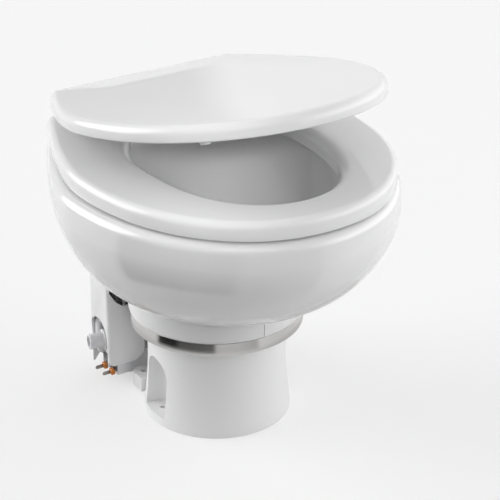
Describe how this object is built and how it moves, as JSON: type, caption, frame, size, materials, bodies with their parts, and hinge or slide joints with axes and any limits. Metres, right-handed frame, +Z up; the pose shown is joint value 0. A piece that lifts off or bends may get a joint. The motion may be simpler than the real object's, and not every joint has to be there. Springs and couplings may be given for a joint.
{
  "type": "electric marine toilet",
  "caption": "Compact electric toilet: glazed bowl clamped on a round pedestal with a macerator pump, hinged seat and lid, and a rear service cover with a discharge nozzle.",
  "frame": {"origin": "on the floor, at the centre of the round pedestal's underside", "axes": "+Z up along the pedestal's axis; the bowl's front is towards -Y, the hinges and the service cover are towards +Y, and the discharge nozzle leaves towards -X"},
  "size_m": [0.384, 0.437, 0.4442],
  "materials": {
    "glazed_ceramic": "high-gloss white glaze",
    "seat_white": "gloss white enamel",
    "pedestal_white": "satin-gloss white moulding",
    "stainless_steel": "polished stainless",
    "black_rubber": "matt black",
    "bumper_white": "satin white",
    "black_plastic": "satin black",
    "grey_plastic": "satin grey",
    "pipe_white": "satin white",
    "orange_plastic": "translucent orange",
    "tinned_brass": "bright",
    "motor_paint": "semi-gloss dark grey paint"
  },
  "bodies": {
    "base": {"pedestal": "pedestal_white", "bowl_seal": "black_rubber", "bowl": "glazed_ceramic", "clamp_half_left": "pedestal_white", "clamp_half_right": "pedestal_white", "clamp_band": "stainless_steel", "band_bolt": "stainless_steel", "band_nut": "stainless_steel", "hinge_post_left": "stainless_steel", "hinge_post_right": "stainless_steel", "hinge_pin_left": "stainless_steel", "hinge_pin_right": "stainless_steel", "wing_nut_left": "grey_plastic", "wing_nut_right": "grey_plastic", "motor_can": "motor_paint", "motor_end_plate": "grey_plastic", "lower_bearing": "stainless_steel", "upper_bearing": "stainless_steel", "chopper_plate": "stainless_steel", "pump_backplate": "grey_plastic", "shaft_seal": "black_rubber", "pump_housing": "black_plastic", "outlet_seal": "black_rubber", "discharge_hose": "black_rubber", "hose_clip_pump": "stainless_steel", "hose_clip_elbow": "stainless_steel", "discharge_elbow": "pipe_white", "joker_valve": "black_rubber", "rear_cover": "pedestal_white", "cover_screw": "stainless_steel", "service_bracket": "stainless_steel", "bracket_screw": "stainless_steel", "solenoid_coil": "pipe_white", "solenoid_yoke": "black_plastic", "terminal_block_front": "orange_plastic", "terminal_block_rear": "orange_plastic", "spade_terminal_front": "tinned_brass", "spade_terminal_rear": "tinned_brass", "plunger_spring": "stainless_steel", "valve_body": "pipe_white", "water_inlet": "tinned_brass", "rinse_pipe": "pipe_white", "antisiphon_valve": "black_plastic", "rinse_hose": "black_rubber", "rinse_fitting": "pipe_white", "rinse_nozzle": "pipe_white"},
    "seat_body": {"seat": "seat_white", "seat_bumper_front_left": "bumper_white", "seat_bumper_front_right": "bumper_white", "seat_bumper_rear_left": "bumper_white", "seat_bumper_rear_right": "bumper_white"},
    "lid_body": {"lid": "seat_white", "lid_bumper_left": "bumper_white", "lid_bumper_right": "bumper_white"},
    "rotor": {"motor_shaft": "stainless_steel", "armature": "stainless_steel", "impeller": "grey_plastic", "macerator_blade": "stainless_steel"},
    "plunger": {"solenoid_plunger": "stainless_steel"}
  },
  "joints": [
    {"name": "seat_hinge", "type": "hinge", "parent": "base", "child": "seat_body", "pos_m": [0, 0.182, 0.345], "axis": [-1, 0, 0], "range_deg": [0, 95]},
    {"name": "lid_hinge", "type": "hinge", "parent": "seat_body", "child": "lid_body", "pos_m": [0, 0.182, 0.345], "axis": [-1, 0, 0], "range_deg": [-11.4, 80]},
    {"name": "motor_spin", "type": "hinge", "parent": "base", "child": "rotor", "pos_m": [0, 0, 0.05], "axis": [0, 0, 1], "continuous": true},
    {"name": "plunger_slide", "type": "slide", "parent": "base", "child": "plunger", "axis": [-1, 0, 0], "range_m": [0, 0.003], "stiffness_N_per_m": 150, "springref_m": -0.004, "deforming": ["plunger_spring"]}
  ]
}
